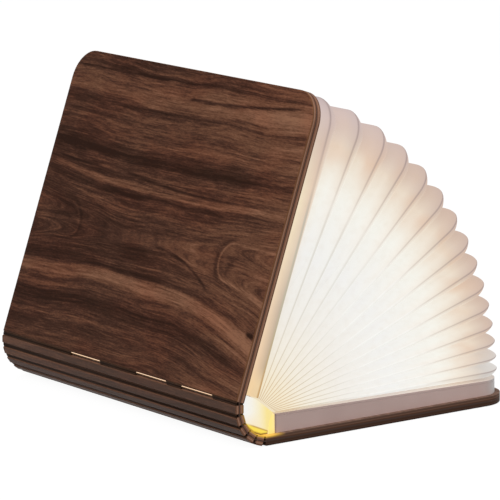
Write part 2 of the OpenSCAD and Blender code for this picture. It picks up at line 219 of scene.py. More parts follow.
def walnut(name, hinge, lean, seed, light=1.0, edge=1.0, gloss=0.06, wash=0.0, shade_below=1.0,
           ply_contrast=1.0, figure=None):
    """Oiled walnut veneer over plies. Its grain is straight unless a figure bends it. Light and
    edge are painted light levels that lighten or darken the face and the board's edge as light or
    shade falls on them, and wash greys the face."""
    f = Finish(name)
    across, along, off, facing = board_place(f, hinge, lean)
    drift = f.streaks((across, 0.03), (along, 0.016), seed, 1)
    grain = f.sum("MULTIPLY_ADD", f.sum("SUBTRACT", drift, 0.5), 7, across)
    if figure:
        grain, value, veins = figure(f, grain, across, along)
    else:
        bands = f.streaks((grain, 0.11), (along, 0.004), seed + 3)
        value, veins = f.sum("MULTIPLY_ADD", f.sum("SUBTRACT", bands, 0.5), 1.5, 0.45), []
    layer = f.sum("MULTIPLY_ADD", across, 0.004, seed + 7)
    broad = f.streaks((grain, 0.13), (along, 0.010), layer)
    line = f.streaks((grain, 0.55), (along, 0.016), layer, 2, 0.6)
    fibre = f.streaks((grain, 1.7), (along, 0.045), layer, 3, 0.6)
    dash = f.streaks((grain, 0.9), (along, 0.085), layer, 3, 0.65)
    grit = f.streaks((across, 2.2), (along, 0.45), layer, 2, 0.6)
    for part, share in ((broad, 0.55), (line, 0.8), (dash, 1.05), (fibre, 0.75), (grit, 0.65)):
        value = f.sum("MULTIPLY_ADD", f.sum("SUBTRACT", part, 0.5), share, value)
    for vein in veins:
        value = f.sum("ADD", value, vein)
    browns = ((0.0, 47, 24, 12), (0.11, 56, 32, 20), (0.2, 64, 38, 26), (0.28, 71, 43, 31),
              (0.36, 80, 50, 37), (0.44, 92, 59, 44), (0.53, 106, 69, 51), (0.67, 123, 83, 61),
              (0.82, 140, 97, 74), (1.0, 158, 112, 85))
    colour = f.ramp(f.sum("MULTIPLY", value, 0.8), *(
        (at, tone(r * light, g * light, b * light)) for at, r, g, b in browns))
    ruddy = f.ramp(f.streaks((across, 0.05), (along, 0.02), seed + 5), (0.42, 0.0), (0.62, 0.4))
    colour = f.mix(ruddy, colour, f.mix(1.0, colour, tone(255, 222, 214), "MULTIPLY"))
    pores = f.ramp(f.streaks((across, 3.4), (along, 0.26), seed), (0.60, 0.0), (0.70, 1.0))
    colour = f.mix(f.sum("MULTIPLY", pores, 0.45), colour,
                   tone(34 * light, 22 * light, 17 * light))
    colour = f.mix(wash, colour, tone(134, 110, 96))
    f.bump(f.sum("SUBTRACT", f.sum("MULTIPLY", fibre, 0.3), pores), 0.0001, 0.4)
    face = f.ramp(facing, (0.55, 0.0), (0.85, 1.0))
    colour = f.mix(face, edge_plies(f, along, off, seed, edge, shade_below, ply_contrast), colour)
    return f.set(Base_Color=colour, Roughness=f.sum("MULTIPLY_ADD", fibre, 0.16, 0.46),
                 Specular_IOR_Level=gloss)


hinges = [Vector(joint["pos_m"]) for joint in frame["joints"]]
# The back cover's face and edge are painted darker, and its lower ply darker still, as shade.
dress(walnut("walnut_back", tuple(hinges[0]), 0.0, 5.0, light=0.9, edge=0.58, shade_below=0.55,
             ply_contrast=0.4), "back_outer_panel")

cloth = Finish("hinge_cloth")
warp, weft = (cloth.node("TexWave", {"Vector": cloth.spot(), "Scale": 900.0, "Distortion": 0.4},
                         bands_direction=way) for way in ("X", "Y"))
thread = cloth.sum("MULTIPLY", warp, weft)
cloth.bump(thread, 0.00008)
dress(cloth.set(Base_Color=cloth.ramp(thread, (0.0, tone(64, 44, 35)), (1.0, tone(98, 68, 54))),
                Roughness=0.85), "back_core")


def inner_ply(name, hinge, lean, seed, light=1.0, shade_below=1.0, ply_contrast=1.0, glow=0.0):
    """The plainer ply on the inside of a board: paler walnut with a fine straight grain. The lamp's
    warm light on it beside the spine is painted on as a glow."""
    f = Finish(name)
    across, along, off, facing = board_place(f, hinge, lean)
    line = f.streaks((across, 0.5), (along, 0.008), seed, 3, 0.6)
    fibre = f.streaks((across, 4.0), (along, 0.12), seed)
    colour = f.ramp(f.sum("MULTIPLY_ADD", fibre, 0.3, f.sum("MULTIPLY", line, 0.7)),
                    (0.38, tone(104, 78, 66)), (0.52, tone(132, 102, 87)),
                    (0.66, tone(160, 128, 110)))
    face = f.ramp(facing, (0.55, 0.0), (0.85, 1.0))
    f.bump(fibre, 0.0001, 0.4)
    # Painted light: the lamp's warm glow on the ply beside the spine.
    if glow:
        inside = f.sum("MAXIMUM", face, f.fade(off, 1.3, 2.5))
        painted_lamp_glow = f.sum("MULTIPLY", f.sum("MULTIPLY", f.fade(across, 13, 5), inside), glow)
        f.set(Emission_Color=tone(255, 200, 60), Emission_Strength=painted_lamp_glow)
    colour = f.mix(face, edge_plies(f, along, off, seed, light, shade_below, ply_contrast), colour)
    return f.set(Base_Color=colour, Roughness=0.6, Specular_IOR_Level=0.1)


# The back cover's inner ply has its edge painted darker, and its lower ply darker still, as shade,
# with the lamp's glow painted on beside the spine.
dress(inner_ply("inner_ply_back", tuple(hinges[0]), 0.0, 2.0, light=0.67, shade_below=0.55, ply_contrast=0.4,
                glow=0.8), "back_inner_panel")

nickel = Finish("magnet_nickel")
scuff = nickel.noise(nickel.fine_spot(700), 3)
shine = nickel.ramp(scuff, (0.3, tone(150, 150, 150)), (0.7, tone(196, 196, 198)))
dress(nickel.set(Base_Color=shine, Metallic=1.0,
                 Roughness=nickel.sum("MULTIPLY_ADD", scuff, 0.2, 0.2)),
      "back_magnets", "front_magnets")


# Housing
# A shallow moulded box in a warm grey plastic with a fine spark finish, paler towards its fore end.
# Its lid is held down by four small black screws and carries the last page.
shell = Finish("housing_plastic")
spark = shell.noise(shell.fine_spot(2400))
cloud = shell.noise(shell.fine_spot(26))
shell.bump(spark, 0.00003, 0.6)
grey = shell.ramp(cloud, (0.35, tone(199, 172, 165)), (0.65, tone(210, 183, 176)))
to_fore = shell.parts(shell.spot())[0]
fore = shell.ramp(shell.fade(to_fore, 0.058, 0.0763), (0.0, 0.0), (0.35, 0.15), (0.62, 0.6),
                  (0.8, 0.86), (1.0, 1.0))
grey = shell.mix(fore, grey, tone(228, 230, 230))
# Painted shade: a dark line at the housing's spine end, beside the light bar.
grey = shell.mix(shell.fade(to_fore, -0.0698, -0.0688, 0.6, 0.0), grey, tone(132, 104, 92))
# Painted light: faces that look up are paler, where the pages' glow falls on them.
upper = shell.ramp(shell.upward(), (0.5, 0.0), (0.9, 0.8))
grey = shell.mix(upper, grey, tone(240, 228, 218))
dress(shell.set(Base_Color=grey, Roughness=shell.sum("MULTIPLY_ADD", spark, 0.18, 0.42),
                Subsurface_Weight=0.08, Subsurface_Radius=(0.004, 0.003, 0.003)),
      "housing_tray", "housing_lid")

steel = Finish("black_screw_steel")
turning = steel.noise(steel.fine_spot(3000, 3000, 900))
dress(steel.set(Base_Color=steel.ramp(turning, (0.3, tone(40, 40, 42)), (0.7, tone(66, 66, 70))),
                Metallic=1.0, Roughness=steel.sum("MULTIPLY_ADD", turning, 0.2, 0.28)),
      "lid_screws")


# Battery and board
# A flat foil battery cell lies beside the green control board. The charging socket reaches the
# far wall of the housing, and a small magnetic sensor wakes the lamp when the cover opens.
foil = Finish("battery_foil")
dent = foil.noise(foil.fine_spot(90), 5, 0.6)
foil.bump(dent, 0.0006, 0.5)
dress(foil.set(Base_Color=foil.ramp(dent, (0.3, tone(128, 134, 142)), (0.7, tone(170, 176, 184))),
               Metallic=0.9, Roughness=foil.sum("MULTIPLY_ADD", dent, 0.2, 0.3)), "battery_cell")

laminate = Finish("circuit_laminate")
cells = laminate.node("TexVoronoi", {"Vector": laminate.spot(), "Scale": 420.0},
                      distance="MANHATTAN", feature="DISTANCE_TO_EDGE")
tracks = laminate.ramp(cells, (0.05, 1.0), (0.09, 0.0))
laminate.bump(tracks, 0.00005)
dress(laminate.set(Base_Color=laminate.mix(tracks, tone(30, 92, 58), tone(72, 140, 96)),
                   Roughness=0.34, Coat_Weight=0.3), "control_board")


def sleeve(name, *colour):
    """Insulation of a thin stranded wire, slightly ribbed by the strands under it."""
    f = Finish(name)
    rib = f.noise(f.fine_spot(900), 1)
    f.bump(rib, 0.00005)
    dark = tuple(0.8 * c for c in colour)
    return f.set(Base_Color=f.ramp(rib, (0.3, tone(*dark)), (0.7, tone(*colour))), Roughness=0.45)


dress(sleeve("wire_red", 176, 58, 48), "battery_leads")
dress(sleeve("wire_white", 224, 218, 204), "led_leads")

tin = Finish("socket_steel")
brushed = tin.noise(tin.fine_spot(1800, 300, 1800))
dress(tin.set(Base_Color=tin.ramp(brushed, (0.3, tone(176, 176, 180)), (0.7, tone(212, 212, 214))),
              Metallic=1.0, Roughness=tin.sum("MULTIPLY_ADD", brushed, 0.2, 0.22)),
      "charging_socket")

epoxy = Finish("chip_plastic")
speck = epoxy.noise(epoxy.fine_spot(4000), 1)
epoxy.bump(speck, 0.00002)
dress(epoxy.set(Base_Color=epoxy.ramp(speck, (0.3, tone(28, 30, 34)), (0.7, tone(42, 44, 50))),
                Roughness=0.6), "magnet_sensor")


# Light bar
# A white board with a row of small light chips stands along the housing's spine wall. A milky
# diffuser clips over it and glows warm from end to end, with its near end a clear yellow.
mask = Finish("white_solder_mask")
grid = mask.node("TexVoronoi", {"Vector": mask.spot(), "Scale": 500.0}, distance="MANHATTAN",
                 feature="DISTANCE_TO_EDGE")
dress(mask.set(Base_Color=mask.ramp(grid, (0.04, tone(204, 200, 188)), (0.09, tone(232, 230, 224))),
               Roughness=0.35), "led_board")

phosphor = Finish("phosphor")
powder = phosphor.noise(phosphor.fine_spot(1500))
lit = phosphor.ramp(powder, (0.3, tone(255, 214, 110)), (0.7, tone(255, 236, 170)))
dress(phosphor.set(Base_Color=tone(250, 220, 120), Emission_Color=lit, Emission_Strength=1.4,
                   Roughness=0.5), "led_chips")

milky = Finish("lit_diffuser")
from_spine, _, rise = milky.parts(milky.spot())
from_spine = milky.fade(from_spine, -0.07425, -0.07025)
warm = milky.ramp(from_spine, (0.0, tone(255, 216, 182)), (0.05, tone(251, 228, 132)),
                  (0.5, tone(251, 226, 130)), (0.8, tone(250, 226, 142)),
                  (1.0, tone(243, 218, 150)))
upper = milky.ramp(milky.upward(), (0.6, 0.0), (0.9, 1.0))
warm = milky.mix(upper, warm, tone(255, 214, 184))
low = milky.sum("MULTIPLY", milky.ramp(milky.fade(rise, 0.005, 0.0145), (0.0, 1.0), (0.3, 0.0)),
                milky.ramp(from_spine, (0.02, 0.0), (0.1, 1.0)))
glow = milky.mix(low, warm, tone(248, 212, 120))
dress(milky.set(Base_Color=tone(150, 130, 80), Emission_Color=glow, Emission_Strength=0.86,
                Roughness=0.4), "led_diffuser")


# Spine
# Five narrow walnut slats on the same cloth, with a saw kerf between each two, so that the spine
# bends round like a roll-top. The veneer is cut from one sheet, so the grain runs through.
for number in range(1, 6):
    first, second = hinges[number - 1], hinges[number]
    slat_lean = math.atan2(second.z - first.z, second.x - first.x) + math.pi
    # The lamp's glow is painted on the slats' inner plies, fainter on each slat towards the front
    # cover.
    dress(walnut(f"walnut_slat_{number}", tuple(second), slat_lean, 9.0 + 0.4 * number,
                 light=1.02, gloss=0.1, wash=0.22), f"slat_{number}_outer")
    dress(inner_ply(f"inner_ply_slat_{number}", tuple(second), slat_lean, 4.0 + number,
                    glow=0.92 - 0.16 * number), f"slat_{number}_inner")
    dress(cloth.material, f"slat_{number}_core")


# Front cover
# The same two plies and cloth as the back cover. Its veneer is cut through the heart of the log,
# so its rings open in a tongue at each end. A glued paper liner inside carries the first page.
opening, cover_width = 70.4, 157  # degrees, millimetres


def heart_grain(f, grain, across, along):
    """Opens straight grain into a long tongue of rings from each end of the board, with nearly
    straight grain beside them."""
    heart_line = 66.5
    low_down = f.bell(f.sum("SUBTRACT", across, 22), 34)
    near_end = f.sum("DIVIDE", f.sum("MAXIMUM", f.sum("SUBTRACT", -25, along), 0), 80)
    lift = f.sum("MULTIPLY", low_down, f.sum("POWER", near_end, 2))
    grain = f.sum("ADD", grain, f.sum("MULTIPLY", lift, 11))
    away = f.sum("SUBTRACT", grain, heart_line)
    reach_out = f.sum("MULTIPLY", f.sum("ADD", along, 1), 0.12)
    opened = f.sum("SUBTRACT", f.sum("MULTIPLY", away, away),
                   f.sum("MULTIPLY", reach_out, reach_out))
    ring = f.sum("DIVIDE", opened, f.sum("SQRT", f.sum("ADD", f.sum("ABSOLUTE", opened), 16)))
    side = f.sum("DIVIDE", away, f.sum("SQRT", f.sum("MULTIPLY_ADD", away, away, 40)))
    return f.sum("MULTIPLY_ADD", ring, side, heart_line)


def heart_bands(f, grain):
    """The dark and pale bands of the growth rings, from the spine to the fore edge. The last ones
    have a ramp of their own, because a ramp holds no more stops."""
    last_band = 0.835
    share = f.sum("DIVIDE", grain, cover_width)
    bands = f.ramp(
        share, (0.0, 0.44), (0.05, 0.58), (0.09, 0.36), (0.115, 0.55),
        (0.15, 0.34), (0.17, 0.20), (0.19, 0.14), (0.205, 0.42), (0.222, 0.70), (0.236, 0.38),
        (0.262, 0.98), (0.29, 0.82), (0.303, 0.30), (0.315, 0.22), (0.34, 0.42), (0.38, 0.44),
        (0.46, 0.50), (0.53, 0.50), (0.548, 0.24), (0.56, 0.50), (0.582, 0.74), (0.598, 0.30),
        (0.625, 0.52), (0.655, 0.36), (0.672, 0.12), (0.70, 0.26), (0.72, 0.50), (0.765, 0.60),
        (0.80, 0.66), (last_band, 0.30), (0.87, 0.80))
    upper = f.ramp(share, (0.82, 0.42), (last_band, 0.30), (0.85, 0.64), (0.88, 0.86),
                   (0.93, 0.72), (0.945, 0.64), (0.952, 0.20), (0.965, 0.46), (1.0, 0.36))
    return f.mix(f.sum("GREATER_THAN", grain, cover_width * last_band), bands, upper)


def heart_veins(f, across, along):
    """Single veins of the front cover's heart figure: how much they lighten or darken it."""
    def line_at(distance, width, height, start, end):
        """A vein of this width that comes in along the board over start and goes out over end."""
        coming = f.fade(along, *start, interpolation_type="SMOOTHSTEP")
        going = f.fade(along, *end, 1.0, 0.0, interpolation_type="SMOOTHSTEP")
        shown = f.sum("MULTIPLY", coming, going)
        return f.sum("MULTIPLY", f.sum("MULTIPLY", f.bell(distance, width), shown), height)

    def tongue(at, tip, radius, way, narrow, flare):
        """How far a place lies outside a tongue with a round tip. Its lower arm is narrower there
        and opens out along the board."""
        run = f.sum("MULTIPLY", f.sum("SUBTRACT", along, tip), way)
        beyond = f.sum("MAXIMUM", run, 0)
        aside = f.sum("SUBTRACT", across, at)
        opening_out = f.sum("MULTIPLY_ADD", f.sum("MINIMUM", run, 0), flare, narrow)
        low = f.sum("MULTIPLY", f.sum("MINIMUM", aside, 0), opening_out)
        aside = f.sum("ADD", f.sum("MAXIMUM", aside, 0), low)
        square = f.sum("MULTIPLY_ADD", beyond, beyond, f.sum("MULTIPLY", aside, aside))
        return f.sum("SUBTRACT", f.sum("SQRT", square), radius)

    def sweep(at, y, curve):
        """How far a place lies above a line that is level at y and curves off."""
        run = f.sum("SUBTRACT", along, y)
        straight = f.sum("MULTIPLY_ADD", f.sum("MULTIPLY", run, run), -curve, across)
        return f.sum("SUBTRACT", straight, at)

    near_tongue = tongue(65.6, -73.0, 9.6, 1, 1.0, 0.012)
    far_tongue = tongue(64.0, 78.0, 13.0, -1, 2.0, 0.03)
    veins = [line_at(near_tongue, 0.7, 0.36, (-120, -110), (-60, -50)),
             line_at(f.sum("SUBTRACT", near_tongue, 2.2), 1.3, -0.16, (-80, -70), (-50, -40)),
             line_at(sweep(64.7, -73, 0), 2.4, -0.34, (-79, -73), (-73, -68)),
             line_at(far_tongue, 0.7, 0.13, (50, 60), (76, 100)),
             line_at(f.sum("SUBTRACT", far_tongue, 1.8), 1.2, -0.18, (58, 62), (80, 100)),
             line_at(sweep(73.5, 79, 0), 4.5, -0.2, (64, 80), (84, 98)),
             line_at(sweep(65.6, 100, 0), 3.4, 0.16, (90, 98), (102, 108)),
             line_at(sweep(141.6, -3, 0.00067), 0.8, -0.6, (-104, -86), (-7, -2)),
             line_at(sweep(64.3, -8, -0.0056), 0.8, -0.34, (-66, -54), (-14, -4)),
             line_at(sweep(66.4, -8, -0.0056), 1.1, 0.14, (-40, -24), (-14, -4)),
             line_at(sweep(58.2, 6, 0), 4.0, -0.30, (-20, 8), (8, 32)),
             line_at(sweep(47.4, 0, 0), 1.5, -0.28, (-26, -4), (-2, 22)),
             line_at(sweep(61.0, -52, 0), 5.0, 0.20, (-64, -54), (-50, -32)),
             line_at(sweep(33.4, -104, 0), 1.5, -0.7, (-108, -105.5), (-103, -100)),
             line_at(sweep(89.8, -12, 0.00056), 1.5, 0.20, (-108, -60), (60, 108)),
             line_at(sweep(94.0, -38, 0.0008), 0.8, -0.34, (-104, -84), (20, 56)),
             line_at(sweep(98.6, 80, 0.002), 0.8, -0.28, (50, 64), (92, 106)),
             line_at(sweep(149.0, 60, 0), 0.7, -0.42, (16, 28), (96, 112)),
             line_at(sweep(106.4, 40, 0.0003), 0.9, -0.32, (-8, 10), (66, 78)),
             line_at(sweep(105.6, -40, 0), 2.6, -0.26, (-84, -60), (-20, -4)),
             line_at(sweep(107.5, 92, 0), 2.6, -0.20, (66, 80), (100, 108)),
             line_at(sweep(86.4, 38, 0), 1.3, -0.34, (12, 26), (46, 64)),
             line_at(sweep(87.0, -47, 0), 0.7, -0.30, (-60, -52), (-44, -34)),
             line_at(sweep(131.6, 30, 0), 1.0, -0.24, (0, 16), (40, 58)),
             line_at(sweep(135.0, -62, 0.0012), 0.8, -0.26, (-104, -84), (-50, -36))]
    total = veins[0]
    for vein in veins[1:]:
        total = f.sum("ADD", total, vein)
    return total


def heart_figure(f, grain, across, along):
    """The bent grain, its bands, and what the veins and the paler near end add to them."""
    grain = heart_grain(f, grain, across, along)
    paler = f.ramp(f.fade(along, 105, -107), (0.02, 0.0), (0.5, 0.08), (0.73, 0.15),
                   (0.85, 0.25), (1.0, 0.36))
    return grain, heart_bands(f, grain), [heart_veins(f, across, along),
                                          f.sum("SUBTRACT", paler, 0.06)]


front_lean = math.radians(opening)
dress(walnut("walnut_front", tuple(hinges[5]), front_lean, 1.0, figure=heart_figure),
      "front_outer_panel")
dress(inner_ply("inner_ply_front", tuple(hinges[5]), front_lean, 6.0), "front_inner_panel")
dress(cloth.material, "front_core")


def glowing(finish, colour, strength, base):
    """Paper that is lit from inside: most of its light is a painted glow of its own, and the rest
    is the room's.
    """
    return finish.set(Base_Color=base, Emission_Color=colour, Emission_Strength=strength,
                      Roughness=0.8, Specular_IOR_Level=0.15)


liner = Finish("liner_paper")
across, along, _, _ = board_place(liner, tuple(hinges[5]), front_lean)
mottle = liner.streaks((across, 0.2), (along, 0.2), 0.0, 3)
# The liner's colour is its painted glow, dimmer in a band near the spine and towards the fore edge.
lit = liner.ramp(liner.sum("DIVIDE", across, cover_width), (0.03, tone(241, 218, 175)),
                 (0.2, tone(183, 164, 139)), (0.5, tone(241, 226, 203)),
                 (0.67, tone(248, 232, 206)), (0.9, tone(222, 196, 182)))
lit = liner.mix(liner.sum("MULTIPLY", mottle, 0.12), lit, tone(180, 150, 128))
dress(glowing(liner, lit, 0.62, tone(150, 138, 126)), "front_endpaper")


# Pages
# One long sheet of stiff white synthetic paper, folded to and fro like bellows, with its ridges
# pinched into fine seams. It is cut into six parts where it passes from one hinge of the spine to
# the next.
page_half, crest_depth = 105.3, 8.0  # millimetres, as is the whole fan
crest_radius, valley_radius = 15.0, 4.0
cover_end, paper_lift, last = 154.8, 0.25, 15
page_wall = 0.00018
chain = np.array([(h.x * 1000, h.z * 1000) for h in hinges])
low_tray, high_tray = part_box("housing_tray")
lid_from = np.array((low_tray.x * 1000, 14.8))
lid_to = np.array((high_tray.x * 1000, 12.4))


def unit(degrees):
    """One step in this direction, seen from the near end of the spine."""
    a = math.radians(degrees)
    return np.array((math.cos(a), math.sin(a)))


def on_front(along, off):
    """A point that stands off the middle of the front cover, towards the pages."""
    return chain[5] + along * unit(opening) + off * unit(opening - 90)


def paper_on_lid(x):
    """The height of the last page where it lies on the lid."""
    slope = (lid_to[1] - lid_from[1]) / (lid_to[0] - lid_from[0])
    return lid_from[1] + slope * (x - lid_from[0]) + paper_lift


mid_spine = (chain[2] + chain[3]) / 2
hub_front, hub_back = on_front(5, 11.6), np.array((lid_from[0] + 0.2, 15.6))
fan_reach = lid_to[0] + 1.4 - mid_spine[0]


def leaf(s):
    """Inner end and tip of leaf s, from 0 on the front cover to 15 on the housing. A leaf is the
    plane through a valley, or through a ridge where s ends in a half."""
    after_first = max(s - 0.5, 0)
    hub = hub_front + (hub_back - hub_front) * after_first / (last - 0.5)
    tip = mid_spine + fan_reach * unit((opening - 1) * (1 - after_first / (last + 1)) ** 1.6)
    if s < 0.5:
        start = on_front(5, 3), on_front(cover_end, 3)
        hub, tip = (a + (p - a) * 2 * s for a, p in zip(start, (hub, tip)))
    if s > last - 0.5:
        on_lid = lid_from[0] + 1
        end = np.array((on_lid, paper_on_lid(on_lid))), lid_to + (0, paper_lift)
        hub, tip = (p + (b - p) * 2 * (s - last + 0.5) for b, p in zip(end, (hub, tip)))
    return hub, tip


def turned(points, pivot, angle):
    """Points swung round a hinge, from the front cover towards the back cover."""
    x, z = (points - pivot).T
    c, s = np.cos(angle), np.sin(angle)
    return pivot + np.stack([x * c + z * s, z * c - x * s], -1)


def carried(points, share, angle):
    """Where the spine carries points that follow it by a share from 0, the back cover, to 6, the
    front cover, when each of its six hinges closes by an angle."""
    share = np.clip(share, 0, 6 - 1e-9)
    step = share.astype(int)
    moved = np.array(points, float)
    for k in range(6):
        here = step == k
        part = turned(moved[here], chain[k], (share[here] - k) * angle)
        for j in range(k - 1, -1, -1):
            part = turned(part, chain[j], angle)
        moved[here] = part
    return moved


def share_of(points, s):
    """The share that brings points of leaf s to their height in the closed book's stack."""
    closing = math.radians(opening / 6)
    top = carried(np.array([on_front(100, 3)]), np.array([6.0]), closing)[0, 1]
    low, high = np.zeros(len(points)), np.full(len(points), 6.0)
    for _ in range(40):
        middle = (low + high) / 2
        at = carried(points, middle, closing)
        goal = top + (paper_on_lid(at[:, 0]) - top) * s / last
        above = at[:, 1] > goal
        low, high = np.where(above, middle, low), np.where(above, high, middle)
    return np.where(s < 1e-6, 6, np.where(s > last - 1e-6, 0, (low + high) / 2))


def outline(length, depth, radius):
    """Half of a leaf's edge from its inner near end round the near corner to the middle of its
    tip, as distance along the leaf and place along the spine."""
    side, far = depth - page_half, length - depth
    run = [((far - radius) * (i / 22) ** 0.85, side) for i in range(22)]
    bend = [(far - radius + radius * math.sin(a), side + radius - radius * math.cos(a))
            for a in np.linspace(0, math.pi / 2, 13)]
    tip = [(far, y) for y in np.linspace(side + radius, 0, 12)[1:]]
    return np.array(run + bend + tip)


def fold_profile():
    """Across one fold, from the valley over the ridge to the next valley: how far each row
    stands from the ridge's leaf towards the valley's, and how deep it lies under the ridge."""
    rows = [(a, 1 - (1 - a ** 1.35) ** 0.74)
            for a in (1.0, 0.97, 0.9, 0.78, 0.62, 0.45, 0.3, 0.16, 0.06)]
    return [(-a, d) for a, d in rows] + [(0.0, 0.0)] + [(a, d) for a, d in rows[::-1]]


rest_layer, paper_layer = "rest_place", "paper"


def new_sheet():
    """An empty sheet of paper that stores for each point where it rests and what it shows."""
    bm = bmesh.new()
    for layer in (rest_layer, paper_layer):
        bm.verts.layers.float_vector.new(layer)
    return bm


def add_grid(bm, points, shares, facts):
    """Adds a grid of faces whose vertices stand at their share, ready to be cut at its hinges."""
    place, fact = (bm.verts.layers.float_vector[n] for n in (rest_layer, paper_layer))
    grid = []
    for row, share, fact_row in zip(points, shares, facts):
        grid.append([])
        for p, u, c in zip(row, share, fact_row):
            vert = bm.verts.new((u, p[1], 0.001 * len(grid)))
            vert[place], vert[fact] = p, c
            grid[-1].append(vert)
    for a, b in zip(grid, grid[1:]):
        for i in range(len(a) - 1):
            bm.faces.new((a[i], a[i + 1], b[i + 1], b[i]))


sheet = new_sheet()
by_hub = 45
for page in range(1, last + 1):
    rows, shares, facts = [], [], []
    for aside, deep in fold_profile():
        s = page - 0.5 + 0.5 * aside
        hub, tip = leaf(s)
        length = np.linalg.norm(tip - hub)
        radius = crest_radius + (valley_radius - crest_radius) * deep
        edge = outline(length, crest_depth * deep, radius)
        edge = np.vstack([edge, edge[-2::-1] * (1, -1)])
        place = hub + edge[:, :1] * (tip - hub) / length
        far = hub + np.maximum(edge[:, :1], by_hub) * (tip - hub) / length
        rows.append(np.stack([place[:, 0], edge[:, 1], place[:, 1]], -1) / 1000)
        shares.append(share_of(far, s))
        facts.append(np.stack([edge[:, 0] / length, np.full(len(edge), aside),
                               np.full(len(edge), s / last)], -1))
    add_grid(sheet, rows, shares, facts)


def bend_at_hinge(piece):
    """Makes a piece's modifiers final and shades it smooth. For a moment its vertices stand on a
    line, each placed where a smooth easing gives back its share, and then they return to their
    places."""
    graph = bpy.context.evaluated_depsgraph_get()
    final = bpy.data.meshes.new_from_object(piece.evaluated_get(graph))
    piece.modifiers.clear()
    piece.data = final
    final.shade_smooth()
    count = len(final.vertices)
    follow = np.empty(count, np.float32)
    final.attributes["share"].data.foreach_get("value", follow)
    kept = np.empty(3 * count, np.float32)
    final.vertices.foreach_get("co", kept)
    line = np.zeros((count, 3), np.float32)
    line[:, 0] = 0.5 - np.sin(np.arcsin(np.clip(1 - 2 * follow, -1, 1)) / 3)
    final.vertices.foreach_set("co", line.ravel())
    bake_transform(piece)
    final.vertices.foreach_set("co", kept)
    final.update()


def part_at_hinges(bm, name, thickness, material, replaced):
    """Cuts a sheet of paper where its share passes from one hinge to the next, and gives each
    part the sheet's thickness."""
    for k in range(1, 6):
        bmesh.ops.bisect_plane(bm, geom=bm.verts[:] + bm.edges[:] + bm.faces[:], dist=1e-7,
                               plane_co=(k, 0, 0), plane_no=(1, 0, 0))
    for k in range(6):
        part = bm.copy()
        place = part.verts.layers.float_vector[rest_layer]
        share = part.verts.layers.float.new("share")
        away = [f for f in part.faces if not k < f.calc_center_median().x < k + 1]
        bmesh.ops.delete(part, geom=away, context="FACES")
        for vert in part.verts:
            vert[share] = min(max(vert.co.x - k, 0), 1)
            vert.co = vert[place]
        bmesh.ops.remove_doubles(part, verts=part.verts[:], dist=1e-7)
        mesh = bpy.data.meshes.new(f"{name}_{k + 1}")
        part.to_mesh(mesh)
        part.free()
        mesh.materials.append(material)
        piece = bpy.data.objects.new(mesh.name, mesh)
        bpy.context.scene.collection.objects.link(piece)
        wall = piece.modifiers.new("wall", "SOLIDIFY")
        wall.thickness, wall.offset = thickness, -1
        bend_at_hinge(piece)
        if k == 0:
            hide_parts(*replaced)


# The paper's colour is its painted glow: near white in the middle of the fan, creamier by the hub
# and duskier towards the tips.
paper = Finish("lit_page_paper")
along_leaf, aside, stack = paper.parts(paper.mark(paper_layer, 1))
from_ridge = paper.sum("ABSOLUTE", aside)
by_ridge = paper.ramp(
    along_leaf, (0.05, tone(245, 233, 205)), (0.15, tone(241, 234, 220)),
    (0.3, tone(240, 237, 231)), (0.5, tone(241, 241, 237)), (0.7, tone(245, 239, 229)),
    (0.78, tone(238, 226, 210)), (0.86, tone(221, 201, 182)), (0.94, tone(203, 180, 168)),
    (1.0, tone(182, 160, 158)))
by_valley = paper.ramp(
    along_leaf, (0.05, tone(241, 228, 198)), (0.15, tone(242, 236, 221)),
    (0.3, tone(240, 237, 230)), (0.5, tone(241, 241, 239)), (0.72, tone(245, 244, 236)),
    (0.8, tone(241, 233, 219)), (0.87, tone(233, 217, 198)), (0.94, tone(212, 189, 172)),
    (1.0, tone(194, 170, 160)))
lit = paper.mix(paper.ramp(from_ridge, (0.1, 0.0), (0.6, 1.0)), by_ridge, by_valley)
blush = paper.ramp(paper.streaks((stack, 21), (along_leaf, 7), 3.0, 1), (0.45, 0.0), (0.65, 0.5))
blush = paper.sum("MULTIPLY", blush, paper.ramp(
    along_leaf, (0.76, 0.0), (0.86, 1.0), (0.95, 0.6)))
lit = paper.mix(blush, lit, tone(224, 184, 154))
hue = paper.ramp(stack, (0.0, tone(206, 188, 190)), (0.16, tone(206, 186, 182)),
                 (0.3, tone(206, 180, 164)), (0.7, tone(204, 178, 162)),
                 (0.84, tone(206, 190, 178)))
lit = paper.mix(paper.ramp(along_leaf, (0.86, 0.0), (0.97, 0.6)), lit, hue)
lowest = paper.ramp(along_leaf, (0.78, tone(240, 232, 220)), (0.9, tone(210, 204, 198)),
                    (0.97, tone(218, 215, 212)), (1.0, tone(240, 239, 238)))
lowest_share = paper.sum("MULTIPLY", paper.ramp(stack, (0.82, 0.0), (0.94, 1.0)),
                         paper.ramp(along_leaf, (0.78, 0.0), (0.9, 1.0)))
lit = paper.mix(lowest_share, lit, lowest)
# Painted shade: the first page, beside the front cover, is dimmer over the inner part of its
# length.
first = paper.ramp(
    along_leaf, (0.04, tone(240, 210, 162)), (0.1, tone(192, 166, 134)), (0.3, tone(192, 170, 146)),
    (0.5, tone(222, 200, 174)), (0.7, tone(229, 202, 176)), (0.85, tone(212, 186, 170)),
    (0.94, tone(206, 184, 178)), (1.0, tone(186, 168, 168)))
creamy = paper.ramp(
    along_leaf, (0.04, tone(250, 214, 164)), (0.1, tone(252, 216, 176)), (0.3, tone(246, 216, 182)),
    (0.65, tone(250, 233, 198)), (0.85, tone(226, 206, 188)), (1.0, tone(208, 190, 192)))
first = paper.mix(paper.fade(aside, -0.58, -0.12, 1.0, 0.0), first, creamy)
lit = paper.mix(paper.ramp(stack, (0.034, 0.92), (0.05, 0.4), (0.08, 0.0)), lit, first)
